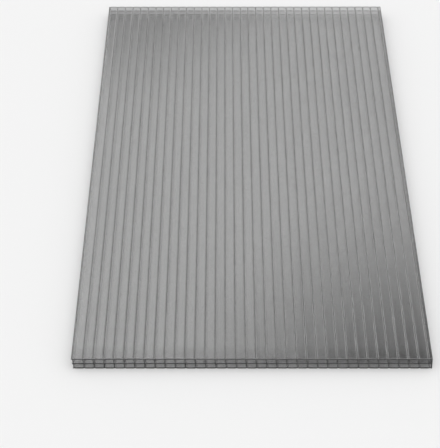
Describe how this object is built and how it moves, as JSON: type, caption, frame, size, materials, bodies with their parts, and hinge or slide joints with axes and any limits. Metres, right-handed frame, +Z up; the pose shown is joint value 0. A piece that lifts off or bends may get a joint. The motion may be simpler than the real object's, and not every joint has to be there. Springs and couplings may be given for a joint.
{
  "type": "multiwall polycarbonate sheet",
  "caption": "Rigid smoke-grey glazing sheet of extruded plastic: flat skins and a middle wall tied by thin ribs, which leave rows of open cells along its length.",
  "frame": {"origin": "centre of the underside of the sheet's box, on the floor it lies on", "axes": "+Y along the cells, +X across them towards the narrow closing cell, +Z up through the sheet"},
  "size_m": [0.6, 1.2, 0.02],
  "materials": {
    "polycarbonate": "smooth extruded, smoke-grey tinted and see-through, with sawn ends"
  },
  "bodies": {
    "root": {"multiwall_sheet": "polycarbonate"}
  },
  "joints": []
}
